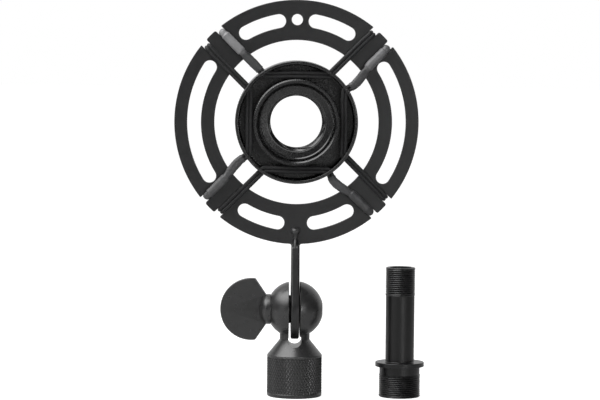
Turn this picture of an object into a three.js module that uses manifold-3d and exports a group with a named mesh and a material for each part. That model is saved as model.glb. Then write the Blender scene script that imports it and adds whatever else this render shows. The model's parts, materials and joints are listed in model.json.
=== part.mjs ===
// Suspended shock mount for a studio microphone, with its loose thread adapter.
// Millimetres, +Z up. The suspension ring faces -Y. The origin is the centre of the
// footprint of the whole set, on the plane that the stand socket and the adapter stand on.

import * as THREE from 'three';
import { mergeVertices } from 'three/addons/utils/BufferGeometryUtils.js';
import Module from 'manifold-3d';

const wasm = await Module();
wasm.setup();

// ---------------------------------------------------------------- driving dimensions

const PIVOT_HEIGHT = 46.5;
const RING_ABOVE_PIVOT = 100;

const RING = { outer: 65, inner: 43.7, thick: 3, slotMid: 54.5, slotWidth: 7.3, holeRadius: 2.95 };
const SIDE_SLOT_HALF_ANGLE = 32;
const SHORT_SLOT_ANGLES = [10.2, 30];
const NOTCH = { width: 3.9, depth: 4.3, lateral: 5.35 };

const ARM = { thick: 4.4, lugRadius: 15.9, neckHalfWidth: 5, tipAboveRingEdge: 6.5 };
const BALL = { radius: 15.1, leftFlat: 12.4, slotWidth: 5.9 };
const KEYHOLE = { radius: 3.6, belowPivot: 16 };
const SOCKET = { radius: 14.7, height: 22.3, coneTop: 30.4, neckRadius: 8, boreRadius: 7.5, boreDepth: 18 };

const STUD = { radius: 3, leftEnd: -17, rightEnd: 12.5 };
const HUB = { radius: 8.05, face: -12.8, domeStart: -15.4, domeEnd: -19.1 };
const WING = { radius: 16.6, centre: -23.3, thick: 3, cornerAngle: 82.5 };
const FRICTION_WASHER = { outer: 7.5, thick: 0.5 };

const CUP = { outer: 32.8, wall: 1.9, front: 6.5, back: -7, floor: 2, openingRadius: 19.2 };
const NUT = {
  knurlRadius: 23, front: 8, flangeBack: -4, sleeveRadius: 18.8, back: -10.5,
  threadRadius: 15.1, lipRadius: 13.8, lipDepth: 1.5,
};
const CLIP = { front: -8.2, back: -9.1, grooveRadius: 17.5, inner: 17.8, outer: 20.6, gapAngle: 40 };

const CORD = { radius: 1.2, lateral: 5.6, plainHeight: 3, sleevedHeight: 3.8, clearance: 0.6 };
const CORD_HOLE = { radius: 2.2, height: 3.4 };
const FERRULE = { bore: 1.35, outer: 1.65, innerEnd: 48, outerEnd: 59.2 };
const SLEEVE = { bore: 1.8, outer: 2.15, innerEnd: 34.4, outerEnd: 60.6 };

const ADAPTER = {
  standOff: 56.3, boreRadius: 6,
  bigThread: { radius: 11.1, height: 12 },
  neck: { radius: 10.75, height: 4.3 },
  flange: { radius: 13.05, height: 2.4 },
  tube: { radius: 7.65, height: 35.8 },
  slimThread: { radius: 7.95, height: 14.9 },
};

const RUNNING_GAP = 0.1;
const CIRCLE_STEPS = 40;
const CORD_SIDES = 6;
const CORD_STEP = 3.5;

// Worked out from the dimensions above.
const RING_HEIGHT = PIVOT_HEIGHT + RING_ABOVE_PIVOT;
const CUP_INNER = CUP.outer - CUP.wall;
const CUP_FLOOR_FRONT = CUP.back + CUP.floor;
const FOOTPRINT_CENTRE_X = (ADAPTER.standOff + ADAPTER.flange.radius - RING.outer) / 2;
const QUARTER_TURNS = [0, 1, 2, 3];

// ---------------------------------------------------------------- materials

function paint(color, roughness, metalness) {
  return new THREE.MeshStandardMaterial({ color, roughness, metalness });
}

const cast = () => paint(0x2c2c2d, 0.62, 0.35);
const turned = () => paint(0x29292a, 0.48, 0.45);
const steel = () => paint(0x55565a, 0.35, 0.9);
const plastic = () => paint(0x1b1b1c, 0.6, 0);
const braid = () => paint(0x1d1d1e, 0.85, 0);
const shrinkTube = () => paint(0x4c4d4f, 0.7, 0);

// ---------------------------------------------------------------- solids

const rad = THREE.MathUtils.degToRad;

// A closed geometry, with its faces pointing out, as a solid that can be cut and joined.
function solid(geometry) {
  const bare = geometry.index ? geometry.toNonIndexed() : geometry.clone();
  bare.deleteAttribute('normal');
  bare.deleteAttribute('uv');
  const merged = mergeVertices(bare, 1e-4);
  const points = merged.attributes.position.array;
  const corners = Uint32Array.from(merged.index.array);
  const faces = [];
  for (let i = 0; i < corners.length; i += 3) {
    const [a, b, c] = corners.subarray(i, i + 3);
    if (a !== b && b !== c && c !== a) faces.push(a, b, c);
  }
  if (enclosedVolume(points, faces) < 0) {
    for (let i = 0; i < faces.length; i += 3) [faces[i], faces[i + 1]] = [faces[i + 1], faces[i]];
  }
  const mesh = new wasm.Mesh({
    numProp: 3,
    vertProperties: Float32Array.from(points),
    triVerts: Uint32Array.from(faces),
  });
  return new wasm.Manifold(mesh);
}

function enclosedVolume(points, faces) {
  const [a, b, c] = [new THREE.Vector3(), new THREE.Vector3(), new THREE.Vector3()];
  let sum = 0;
  for (let i = 0; i < faces.length; i += 3) {
    a.fromArray(points, faces[i] * 3);
    b.fromArray(points, faces[i + 1] * 3);
    c.fromArray(points, faces[i + 2] * 3);
    sum += a.dot(b.cross(c));
  }
  return sum / 6;
}

function geometryOf(body) {
  const { vertProperties, triVerts, numProp } = body.getMesh();
  const points = new Float32Array((vertProperties.length / numProp) * 3);
  for (let i = 0; i < points.length / 3; i += 1) {
    points.set(vertProperties.subarray(i * numProp, i * numProp + 3), i * 3);
  }
  const geometry = new THREE.BufferGeometry();
  geometry.setAttribute('position', new THREE.BufferAttribute(points, 3));
  geometry.setIndex(new THREE.BufferAttribute(Uint32Array.from(triVerts), 1));
  geometry.computeVertexNormals();
  return geometry;
}

function piece(name, body, material) {
  const mesh = new THREE.Mesh(geometryOf(body), material);
  mesh.name = name;
  return mesh;
}

// A solid of revolution about local +Z from [radius, height] pairs. An open profile starts and
// ends on the axis, and a closed one repeats its first point.
function turnedSolid(profile, steps = CIRCLE_STEPS) {
  const points = profile.map(([radius, height]) => new THREE.Vector2(radius, height));
  return solid(new THREE.LatheGeometry(points, steps).rotateX(Math.PI / 2));
}

function turnedRing(inner, outer, back, front, steps = CIRCLE_STEPS) {
  return turnedSolid([[inner, back], [outer, back], [outer, front], [inner, front], [inner, back]], steps);
}

// A cylinder about local +Z.
function rod(radius, back, front, steps = 24) {
  const geometry = new THREE.CylinderGeometry(radius, radius, front - back, steps);
  return solid(geometry.rotateX(Math.PI / 2).translate(0, 0, (front + back) / 2));
}

// A cylinder along X.
function crossRod(radius, left, right, steps = 24) {
  const geometry = new THREE.CylinderGeometry(radius, radius, right - left, steps);
  return solid(geometry.rotateZ(Math.PI / 2).translate((left + right) / 2, 0, 0));
}

function block(from, to) {
  const size = to.map((value, i) => value - from[i]);
  const centre = to.map((value, i) => (value + from[i]) / 2);
  return solid(new THREE.BoxGeometry(...size).translate(...centre));
}

// Points along an arc, in degrees, both ends included.
function arc(x, y, radius, from, to, steps) {
  return Array.from({ length: steps + 1 }, (_, i) => {
    const angle = rad(from + ((to - from) * i) / steps);
    return new THREE.Vector2(x + radius * Math.cos(angle), y + radius * Math.sin(angle));
  });
}

function circle(x, y, radius, steps) {
  return arc(x, y, radius, 0, 360, steps).slice(0, -1);
}

function plate(outline, holes, back, front) {
  const shape = new THREE.Shape(outline);
  shape.holes = holes.map((hole) => new THREE.Path(hole));
  const geometry = new THREE.ExtrudeGeometry(shape, { depth: front - back, bevelEnabled: false });
  return solid(geometry.translate(0, 0, back));
}

function tubeAlong(points, radius) {
  const section = new THREE.Shape(circle(0, 0, radius, CORD_SIDES));
  const path = new THREE.CatmullRomCurve3(points, false, 'centripetal');
  const steps = Math.round(path.getLength() / CORD_STEP);
  return solid(new THREE.ExtrudeGeometry(section, { steps, bevelEnabled: false, extrudePath: path }));
}

// ---------------------------------------------------------------- suspension ring with its arm

function curvedSlot(from, to) {
  const half = RING.slotWidth / 2;
  const steps = Math.round((to - from) / 5);
  const end = (angle) => new THREE.Vector2(RING.slotMid, 0).rotateAround(new THREE.Vector2(), rad(angle));
  const [first, last] = [end(from), end(to)];
  return [
    ...arc(0, 0, RING.slotMid + half, from, to, steps),
    ...arc(last.x, last.y, half, to, to + 180, 6).slice(1, -1),
    ...arc(0, 0, RING.slotMid - half, to, from, steps),
    ...arc(first.x, first.y, half, from + 180, from + 360, 6).slice(1, -1),
  ];
}

function ringPlate() {
  const holes = [circle(0, 0, RING.inner, 60), circle(0, RING.slotMid, RING.holeRadius, 16)];
  for (const side of [0, 180]) {
    holes.push(curvedSlot(side - SIDE_SLOT_HALF_ANGLE, side + SIDE_SLOT_HALF_ANGLE));
  }
  const [near, far] = SHORT_SLOT_ANGLES;
  for (const middle of [90, 270]) {
    holes.push(curvedSlot(middle + near, middle + far));
    holes.push(curvedSlot(middle - far, middle - near));
  }
  let ring = plate(circle(0, 0, RING.outer, 72), holes, -RING.thick / 2, RING.thick / 2);
  for (const quarter of QUARTER_TURNS) {
    for (const side of [-1, 1]) {
      const middle = side * NOTCH.lateral;
      const notch = block(
        [RING.outer - NOTCH.depth - 0.3, middle - NOTCH.width / 2, -RING.thick],
        [RING.outer + 3, middle + NOTCH.width / 2, RING.thick],
      );
      ring = ring.subtract(notch.rotate([0, 0, 45 + 90 * quarter]));
    }
  }
  return ring;
}

// The arm is a flat bar on edge: a round lug at the pivot, drawn in to a narrow neck that runs a
// little way up the ring's face.
function armBar() {
  const pivot = -RING_ABOVE_PIVOT;
  const neckEnd = -RING.outer;
  const tip = neckEnd + ARM.tipAboveRingEdge;
  const reach = neckEnd - pivot;
  const tangent = THREE.MathUtils.radToDeg(
    Math.acos(ARM.lugRadius / Math.hypot(reach, ARM.neckHalfWidth)) + Math.atan2(ARM.neckHalfWidth, reach),
  );
  const outline = [
    ...arc(0, pivot, ARM.lugRadius, 90 + tangent, 450 - tangent, 28),
    new THREE.Vector2(ARM.neckHalfWidth, neckEnd),
    new THREE.Vector2(RING.thick / 2 - RUNNING_GAP, tip),
    new THREE.Vector2(-RING.thick / 2 + RUNNING_GAP, tip),
    new THREE.Vector2(-ARM.neckHalfWidth, neckEnd),
  ];
  return plate(outline, [], -ARM.thick / 2, ARM.thick / 2).rotate([0, 90, 0]);
}

function ringFrame() {
  const bore = crossRod(STUD.radius + 0.3, -ARM.thick, ARM.thick).translate([0, -RING_ABOVE_PIVOT, 0]);
  return piece('ring_frame', ringPlate().add(armBar()).subtract(bore), cast());
}

// ---------------------------------------------------------------- swivel, thumbscrew, washers

// Socket, cone, neck and split ball, turned from one bar.
function swivelBody() {
  const edge = 1.2;
  const mouth = 0.8;
  let body = turnedSolid([
    [0, SOCKET.boreDepth],
    [SOCKET.boreRadius, SOCKET.boreDepth],
    [SOCKET.boreRadius, mouth],
    [SOCKET.boreRadius + mouth, 0],
    [SOCKET.radius - edge, 0],
    [SOCKET.radius - 0.35, 0.35],
    [SOCKET.radius, edge],
    [SOCKET.radius, SOCKET.height],
    [SOCKET.neckRadius, SOCKET.coneTop],
    [SOCKET.neckRadius, PIVOT_HEIGHT - BALL.radius / 2],
    [0, PIVOT_HEIGHT - BALL.radius / 2],
  ]);
  const ball = solid(new THREE.SphereGeometry(BALL.radius, CIRCLE_STEPS, 20).rotateZ(Math.PI / 2));
  const far = 2 * BALL.radius;
  const leftCut = block([-far, -far, -BALL.radius / 2 - 2], [-BALL.leftFlat, far, far]);
  const slot = block(
    [-BALL.slotWidth / 2, -far, -KEYHOLE.belowPivot],
    [BALL.slotWidth / 2, far, far],
  );
  const keyhole = rod(KEYHOLE.radius, -far, far).rotate([90, 0, 0]).translate([0, 0, -KEYHOLE.belowPivot]);
  const bore = crossRod(STUD.radius + 0.3, -far, far);
  body = body.add(ball.translate([0, 0, PIVOT_HEIGHT]));
  for (const cut of [leftCut, slot, keyhole, bore]) {
    body = body.subtract(cut.translate([0, 0, PIVOT_HEIGHT]));
  }
  return piece('swivel_body', body, turned());
}

// The wing is a disc cut away towards its hub, and it stands in the plane of the stud.
function thumbscrewWing() {
  const outline = [
    ...arc(WING.centre, 0, WING.radius, WING.cornerAngle, 360 - WING.cornerAngle, 32),
    new THREE.Vector2(HUB.domeStart, -HUB.radius),
    new THREE.Vector2(HUB.face - 1, -HUB.radius + 2),
    new THREE.Vector2(HUB.face - 1, HUB.radius - 2),
    new THREE.Vector2(HUB.domeStart, HUB.radius),
  ];
  const wing = plate(outline, [], -WING.thick / 2, WING.thick / 2).rotate([90, 0, 0]);
  const dome = HUB.domeStart - HUB.domeEnd;
  const hub = turnedSolid([
    [0, HUB.face],
    [HUB.radius, HUB.face],
    [HUB.radius, HUB.domeStart],
    [HUB.radius * 0.87, HUB.domeStart - dome * 0.5],
    [HUB.radius * 0.6, HUB.domeStart - dome * 0.85],
    [0, HUB.domeEnd],
  ], 32).rotate([0, 90, 0]);
  const bore = crossRod(STUD.radius + 0.2, STUD.leftEnd + 0.6, HUB.face + 1);
  return piece('thumbscrew_wing', hub.add(wing).subtract(bore), cast());
}

function clampStud() {
  const body = crossRod(STUD.radius, STUD.leftEnd + 0.8, STUD.rightEnd);
  return piece('clamp_stud', body, steel());
}

function frictionWasher(name, side) {
  const near = ARM.thick / 2 + RUNNING_GAP;
  const body = turnedRing(STUD.radius + 0.3, FRICTION_WASHER.outer, near, near + FRICTION_WASHER.thick, 32);
  return piece(name, body.rotate([0, 90 * side, 0]), plastic());
}

// ---------------------------------------------------------------- suspended cup and ring nut

function innerCup() {
  let body = turnedSolid([
    [CUP.openingRadius, CUP.back],
    [CUP.outer - 0.8, CUP.back],
    [CUP.outer, CUP.back + 0.8],
    [CUP.outer, CUP.front - 0.3],
    [CUP.outer - 0.3, CUP.front],
    [CUP_INNER, CUP.front],
    [CUP_INNER, CUP_FLOOR_FRONT],
    [CUP.openingRadius, CUP_FLOOR_FRONT],
    [CUP.openingRadius, CUP.back],
  ], 48);
  for (const quarter of QUARTER_TURNS) {
    for (const side of [-1, 1]) {
      const hole = crossRod(CORD_HOLE.radius, CUP_INNER - 4, CUP.outer + 2, 12);
      const placed = hole.translate([0, side * CORD.lateral, CORD_HOLE.height]);
      body = body.subtract(placed.rotate([0, 0, 45 + 90 * quarter]));
    }
  }
  return piece('inner_cup', body, turned());
}

function ringNut() {
  const body = turnedSolid([
    [NUT.lipRadius, NUT.back],
    [NUT.sleeveRadius, NUT.back],
    [NUT.sleeveRadius, CLIP.back - RUNNING_GAP],
    [CLIP.grooveRadius, CLIP.back - RUNNING_GAP],
    [CLIP.grooveRadius, CLIP.front + RUNNING_GAP],
    [NUT.sleeveRadius, CLIP.front + RUNNING_GAP],
    [NUT.sleeveRadius, NUT.flangeBack],
    [NUT.knurlRadius, NUT.flangeBack],
    [NUT.knurlRadius, NUT.front - 0.6],
    [NUT.knurlRadius - 0.6, NUT.front],
    [21, NUT.front],
    [21, NUT.front - 0.8],
    [19.4, NUT.front - 0.8],
    [18.6, NUT.front - 1.8],
    [NUT.threadRadius, NUT.front - 6.5],
    [NUT.threadRadius, NUT.back + NUT.lipDepth],
    [NUT.lipRadius, NUT.back + NUT.lipDepth],
    [NUT.lipRadius, NUT.back],
  ]);
  return piece('ring_nut', body, turned());
}

function nutWasher() {
  const back = CUP_FLOOR_FRONT + RUNNING_GAP;
  const front = NUT.flangeBack - RUNNING_GAP;
  return piece('nut_washer', turnedRing(CUP.openingRadius, NUT.knurlRadius - 0.5, back, front), plastic());
}

function retainingWasher() {
  const front = CUP.back - RUNNING_GAP;
  const back = CLIP.front + RUNNING_GAP;
  return piece('retaining_washer', turnedRing(CUP.openingRadius, NUT.knurlRadius, back, front), steel());
}

// A circlip: a flat ring with a gap, sprung into the groove of the ring nut.
function retainingRing() {
  const half = CLIP.gapAngle / 2;
  const outline = [
    ...arc(0, 0, CLIP.outer, half, 360 - half, 36),
    ...arc(0, 0, CLIP.inner, 360 - half, half, 36),
  ];
  return piece('retaining_ring', plate(outline, [], CLIP.back, CLIP.front), steel());
}

// ---------------------------------------------------------------- elastic suspension

// A point over one of the ring's four diagonals: how far out along it, how far to its side
// (positive is anticlockwise), and how high above the middle of the ring plate.
function onDiagonal(quarter, out, side, height) {
  const angle = rad(45 + 90 * quarter);
  const x = out * Math.cos(angle) - side * Math.sin(angle);
  const y = out * Math.sin(angle) + side * Math.cos(angle);
  return new THREE.Vector3(x, y, height);
}

// One cord: out of a ferrule on one diagonal, into the cup, straight across it, out along the
// next diagonal, round the ring's edge, behind the tab and back to the front.
function elasticCord(quarter) {
  const { lateral, plainHeight, sleevedHeight } = CORD;
  const next = quarter - 1;
  const inCup = CUP_INNER - 1.9;
  const ferruleMiddle = (FERRULE.innerEnd + FERRULE.outerEnd) / 2;
  const overEdge = RING.outer - NOTCH.depth + CORD.radius + CORD.clearance;
  const behind = -RING.thick / 2 - CORD.radius - CORD.clearance;
  const chordStart = onDiagonal(quarter, inCup, -lateral - 1, sleevedHeight);
  const chordEnd = onDiagonal(next, inCup, lateral + 1, plainHeight);
  const points = [
    onDiagonal(quarter, ferruleMiddle - 0.5, -lateral, sleevedHeight),
    onDiagonal(quarter, SLEEVE.innerEnd, -lateral, sleevedHeight),
    onDiagonal(quarter, CUP.outer, -lateral, sleevedHeight),
    ...[0, 0.12, 0.5, 0.88, 1].map((along) => chordStart.clone().lerp(chordEnd, along)),
    onDiagonal(next, CUP.outer, lateral, plainHeight),
    onDiagonal(next, SLEEVE.innerEnd + 2, lateral, plainHeight),
    onDiagonal(next, RING.outer - NOTCH.depth - 2, lateral, plainHeight),
    onDiagonal(next, overEdge - 0.3, lateral, plainHeight - 1),
    onDiagonal(next, overEdge, lateral, 0),
    onDiagonal(next, overEdge - 0.5, lateral - 0.2, behind + 0.6),
    onDiagonal(next, overEdge - 2.4, lateral - 2.4, behind),
    onDiagonal(next, overEdge - 2.4, -lateral + 2.4, behind),
    onDiagonal(next, overEdge - 0.5, -lateral + 0.2, behind + 0.6),
    onDiagonal(next, overEdge, -lateral, 0),
    onDiagonal(next, overEdge - 0.3, -lateral, plainHeight - 0.6),
    onDiagonal(next, FERRULE.outerEnd + 0.8, -lateral, sleevedHeight),
    onDiagonal(next, ferruleMiddle + 0.5, -lateral, sleevedHeight),
  ];
  return piece(`elastic_cord_${quarter + 1}`, tubeAlong(points, CORD.radius), braid());
}

function tubeOverCord(quarter, bore, outer, innerEnd, outerEnd) {
  const tube = turnedRing(bore, outer, innerEnd, outerEnd, 12).rotate([0, 90, 0]);
  const placed = tube.translate([0, -CORD.lateral, CORD.sleevedHeight]);
  return placed.rotate([0, 0, 45 + 90 * quarter]);
}

function crimpFerrule(quarter) {
  const body = tubeOverCord(quarter, FERRULE.bore, FERRULE.outer, FERRULE.innerEnd, FERRULE.outerEnd);
  return piece(`crimp_ferrule_${quarter + 1}`, body, steel());
}

function shrinkSleeve(quarter) {
  const body = tubeOverCord(quarter, SLEEVE.bore, SLEEVE.outer, SLEEVE.innerEnd, SLEEVE.outerEnd);
  return piece(`shrink_sleeve_${quarter + 1}`, body, shrinkTube());
}

// ---------------------------------------------------------------- loose thread adapter

function threadAdapter() {
  const { bigThread, neck, flange, tube, slimThread, boreRadius } = ADAPTER;
  const chamfer = 0.5;
  const neckTop = bigThread.height + neck.height;
  const flangeTop = neckTop + flange.height;
  const tubeTop = flangeTop + tube.height;
  const top = tubeTop + slimThread.height;
  const body = turnedSolid([
    [boreRadius, 0],
    [bigThread.radius - chamfer, 0],
    [bigThread.radius, chamfer],
    [bigThread.radius, bigThread.height],
    [neck.radius, bigThread.height],
    [neck.radius, neckTop],
    [flange.radius, neckTop],
    [flange.radius, flangeTop],
    [tube.radius, flangeTop],
    [tube.radius, tubeTop],
    [slimThread.radius, tubeTop],
    [slimThread.radius, top - chamfer],
    [slimThread.radius - chamfer, top],
    [boreRadius, top],
    [boreRadius, 0],
  ]);
  return piece('thread_adapter', body, turned());
}

// ---------------------------------------------------------------- assembly

function suspension() {
  const group = new THREE.Group();
  group.add(ringFrame(), innerCup(), ringNut(), nutWasher(), retainingWasher(), retainingRing());
  for (const quarter of QUARTER_TURNS) {
    group.add(elasticCord(quarter), crimpFerrule(quarter), shrinkSleeve(quarter));
  }
  group.rotation.x = Math.PI / 2;
  group.position.z = RING_HEIGHT;
  return group;
}

function clamp() {
  const group = new THREE.Group();
  group.add(thumbscrewWing(), clampStud());
  group.add(frictionWasher('friction_washer_left', -1), frictionWasher('friction_washer_right', 1));
  group.position.z = PIVOT_HEIGHT;
  return group;
}

const adapter = threadAdapter();
adapter.position.x = ADAPTER.standOff;

const shockMount = new THREE.Group();
shockMount.add(swivelBody(), clamp(), suspension(), adapter);
shockMount.position.x = -FOOTPRINT_CENTRE_X;

export default shockMount;
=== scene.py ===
"""Looks of a suspended microphone shock mount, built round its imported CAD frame.

Sizes are in millimetres in each piece's own local frame, and MM turns them into metres. A turned
piece is drawn about its local +Z; the suspension ring's local +Z points out of its face, to -Y.
"""

import itertools
import json
import math

import bmesh
import bpy
import numpy as np
from mathutils import Matrix, Quaternion, Vector
from mathutils.geometry import delaunay_2d_cdt


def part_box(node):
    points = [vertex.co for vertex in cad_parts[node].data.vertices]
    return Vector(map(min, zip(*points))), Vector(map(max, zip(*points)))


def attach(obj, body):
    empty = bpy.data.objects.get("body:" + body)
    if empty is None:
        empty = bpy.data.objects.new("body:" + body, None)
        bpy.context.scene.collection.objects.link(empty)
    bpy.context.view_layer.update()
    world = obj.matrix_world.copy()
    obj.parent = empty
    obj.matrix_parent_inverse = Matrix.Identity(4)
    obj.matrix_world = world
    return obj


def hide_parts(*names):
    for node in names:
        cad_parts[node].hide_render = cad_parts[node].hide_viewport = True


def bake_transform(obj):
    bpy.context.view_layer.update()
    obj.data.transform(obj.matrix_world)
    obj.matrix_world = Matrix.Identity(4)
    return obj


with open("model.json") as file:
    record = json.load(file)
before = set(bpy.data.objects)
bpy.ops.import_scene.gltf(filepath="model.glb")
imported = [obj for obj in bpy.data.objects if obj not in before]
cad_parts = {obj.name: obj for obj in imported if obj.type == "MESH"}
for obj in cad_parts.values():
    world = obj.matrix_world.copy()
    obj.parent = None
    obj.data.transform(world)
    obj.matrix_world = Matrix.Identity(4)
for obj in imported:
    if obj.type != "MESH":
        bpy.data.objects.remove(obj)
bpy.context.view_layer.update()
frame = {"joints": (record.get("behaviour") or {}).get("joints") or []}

MM = 0.001

# ------ places, all from the frame

JOINTS = {joint["name"]: joint for joint in frame["joints"]}
PIVOT = Vector(JOINTS["arm_tilt"]["pos_m"])
RING_CENTRE = Vector(JOINTS["ring_nut_turn"]["pos_m"])


def box_mm(node, origin):
    """Low and high corners of a CAD node in millimetres from origin."""
    low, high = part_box(node)
    return (low - origin) / MM, (high - origin) / MM


def disc_sizes(node):
    """Radius, front and back of a CAD node that is round about the ring's axis."""
    low, high = box_mm(node, RING_CENTRE)
    return high.x, -low.y, -high.y


def foot_of(node):
    """The middle of a CAD node's lowest face."""
    low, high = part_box(node)
    return Vector(((low.x + high.x) / 2, (low.y + high.y) / 2, low.z))


ABOUT_X, ABOUT_Y = (Matrix.Rotation(math.pi / 2, 4, axis) for axis in "XY")
RING_FACE = Matrix.Translation(RING_CENTRE) @ ABOUT_X
UPRIGHT_SOCKET = Matrix.Translation((PIVOT.x, PIVOT.y, 0))
UPRIGHT_ADAPTER = Matrix.Translation(foot_of("thread_adapter"))
AT_PIVOT = Matrix.Translation(PIVOT)
TO_RIGHT = AT_PIVOT @ ABOUT_Y
WING_PLANE = AT_PIVOT @ ABOUT_X
ARM_PLANE = RING_FACE @ ABOUT_Y

# ------ sizes that the looks share

RING_OUTER = box_mm("ring_frame", RING_CENTRE)[1].x
RING_INNER = 43.7
PLATE_HALF = 1.5
SLOT_MID, SLOT_WIDTH = 54.5, 7.3
NOTCH_LATERAL, NOTCH_WIDTH, NOTCH_DEPTH = 5.35, 3.9, 4.3
PIVOT_BELOW = (RING_CENTRE.z - PIVOT.z) / MM
PIVOT_HEIGHT = PIVOT.z / MM
ARM_HALF = 2.2
LUG_RADIUS = -box_mm("ring_frame", PIVOT)[0].y
CUP_OUTER, CUP_FRONT, CUP_BACK = disc_sizes("inner_cup")
CUP_INNER = CUP_OUTER - 1.9
CORD_LATERAL = 5.6
STRAND_RADIUS = 1.04
PLAIN_HEIGHT = 2.6
CORD_HOLE_RADIUS, CORD_HOLE_HEIGHT = 2.2, 3.4

# ------ materials


def put(node, values):
    """Sets a node's input values by their names."""
    for socket, value in values.items():
        node.inputs[socket].default_value = value


class Nodes:
    """A short way to write a material's node tree."""

    def __init__(self, name):
        self.material = bpy.data.materials.new(name)
        self.material.use_nodes = True
        self.tree = self.material.node_tree
        self.shader = self.tree.nodes["Principled BSDF"]
        self.place = self.add("ShaderNodeTexCoord").outputs["Object"]

    def add(self, kind, **values):
        node = self.tree.nodes.new(kind)
        for key, value in values.items():
            setattr(node, key, value)
        return node

    def link(self, source, target):
        self.tree.links.new(source, target)

    def noise(self, per_metre, detail=3.0, roughness=0.5, stretch=(1, 1, 1)):
        mapping = self.add("ShaderNodeMapping")
        put(mapping, {"Scale": stretch})
        self.link(self.place, mapping.inputs["Vector"])
        noise = self.add("ShaderNodeTexNoise")
        put(noise, {"Scale": per_metre, "Detail": detail, "Roughness": roughness})
        self.link(mapping.outputs["Vector"], noise.inputs["Vector"])
        return noise.outputs["Fac"]

    def spread(self, value, low, high, start=0.3, end=0.7):
        """value from start..end is spread over low..high."""
        node = self.add("ShaderNodeMapRange")
        put(node, {"From Min": start, "From Max": end, "To Min": low, "To Max": high})
        self.link(value, node.inputs["Value"])
        return node.outputs["Result"]

    def mix(self, factor, first, second):
        node = self.add("ShaderNodeMix", data_type="RGBA")
        self.link(factor, node.inputs["Factor"])
        for socket, colour in ((node.inputs["A"], first), (node.inputs["B"], second)):
            if isinstance(colour, tuple):
                socket.default_value = (*colour, 1)
            else:
                self.link(colour, socket)
        return node.outputs["Result"]

    def vary(self, per_metre, low, high, detail=3.0):
        """Soft patches between low and high, per_metre of them."""
        return self.spread(self.noise(per_metre, detail), low, high)

    def grain(self, per_metre, depth, strength, detail=2.0, stretch=(1, 1, 1)):
        """A fine relief, depth in metres."""
        node = self.add("ShaderNodeBump")
        put(node, {"Distance": depth, "Strength": strength})
        self.link(self.noise(per_metre, detail, stretch=stretch), node.inputs["Height"])
        return node.outputs["Normal"]

    def attribute(self, name):
        return self.add("ShaderNodeAttribute", attribute_name=name).outputs["Fac"]

    def painted_groove_shade(self):
        """Painted shade by pointiness: 0 in narrow grooves, 0.5 on even surfaces and 1 on crests.
        Colours mixed by it are painted darkest in grooves, as painted shade, and lightest on crests, as
        painted highlight.
        """
        pointiness = self.add("ShaderNodeNewGeometry").outputs["Pointiness"]
        return self.spread(pointiness, 0, 1, 0.45, 0.55)

    def finish(self, colour, roughness, normal, metallic=0.0, specular=0.5):
        inputs = self.shader.inputs
        self.link(colour, inputs["Base Color"])
        self.link(roughness, inputs["Roughness"])
        self.link(normal, inputs["Normal"])
        put(self.shader, {"Metallic": metallic, "Specular IOR Level": specular})
        return self.material

    def surface(self, output):
        """Shows another shader instead of the Principled one."""
        self.link(output, self.tree.nodes["Material Output"].inputs["Surface"])
        self.tree.nodes.remove(self.shader)
        return self.material


def powder_coat():
    """Black paint with a fine orange-peel grain. Its rounded edges are painted lighter, partly as
    rubbed, worn paint and partly as painted highlight.
    """
    n = Nodes("powder_coat")
    clouds = n.vary(90, 0, 1, 4)
    colour = n.mix(clouds, (0.01, 0.01, 0.0105), (0.013, 0.013, 0.0135))
    speck = n.spread(n.noise(4200, 2), 0, 1, 0.5, 0.75)
    colour = n.mix(speck, colour, (0.021, 0.021, 0.022))
    # Painted highlight, partly rubbed paint: rounded edges are painted lighter.
    colour = n.mix(n.attribute("edge_wear_and_highlight"), colour, (0.06, 0.06, 0.061))
    roughness = n.vary(400, 0.3, 0.38)
    return n.finish(colour, roughness, n.grain(2600, 0.00002, 0.15, 3), specular=0.55)


def satin_paint():
    """Satin black over turned metal: fine tool rings show faintly through the paint."""
    n = Nodes("satin_paint")
    clouds = n.vary(140, 0, 1, 4)
    crest = n.mix(clouds, (0.034, 0.034, 0.0345), (0.04, 0.04, 0.0405))
    # Painted shade in grooves and a painted highlight on crests, by pointiness.
    colour = n.mix(n.painted_groove_shade(), (0.002, 0.002, 0.002), crest)
    roughness = n.vary(600, 0.27, 0.31)
    rings = n.grain(420, 0.00001, 0.1, stretch=(0.4, 0.4, 9))
    return n.finish(colour, roughness, rings, specular=0.75)


def gloss_black():
    """Smooth black anodised metal: nearly black, with clear reflections on its turned edges. Rounded
    edges are painted lighter, partly as rubbing and partly as painted highlight, and grooves are painted
    darker as painted shade.
    """
    n = Nodes("gloss_black")
    clouds = n.vary(200, 0, 1, 4)
    colour = n.mix(clouds, (0.009, 0.009, 0.0095), (0.0105, 0.0105, 0.011))
    # Painted highlight, partly rubbed paint: rounded edges are painted lighter.
    colour = n.mix(n.attribute("edge_wear_and_highlight"), colour, (0.035, 0.035, 0.036))
    # Painted shade in grooves and a painted highlight on crests, by pointiness.
    colour = n.mix(n.painted_groove_shade(), (0.001, 0.001, 0.001), colour)
    roughness = n.vary(700, 0.2, 0.3)
    return n.finish(colour, roughness, n.grain(2400, 0.00001, 0.1), specular=0.8)


def oxide_black():
    """Blackened steel of the loose adapter: dark, even and a little oily."""
    n = Nodes("oxide_black")
    clouds = n.vary(160, 0, 1, 4)
    crest = n.mix(clouds, (0.006, 0.006, 0.0065), (0.009, 0.009, 0.0095))
    # Painted shade in grooves and a painted highlight on crests, by pointiness.
    colour = n.mix(n.painted_groove_shade(), (0.001, 0.001, 0.001), crest)
    roughness = n.vary(500, 0.28, 0.34)
    return n.finish(colour, roughness, n.grain(2600, 0.00001, 0.1))


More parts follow.
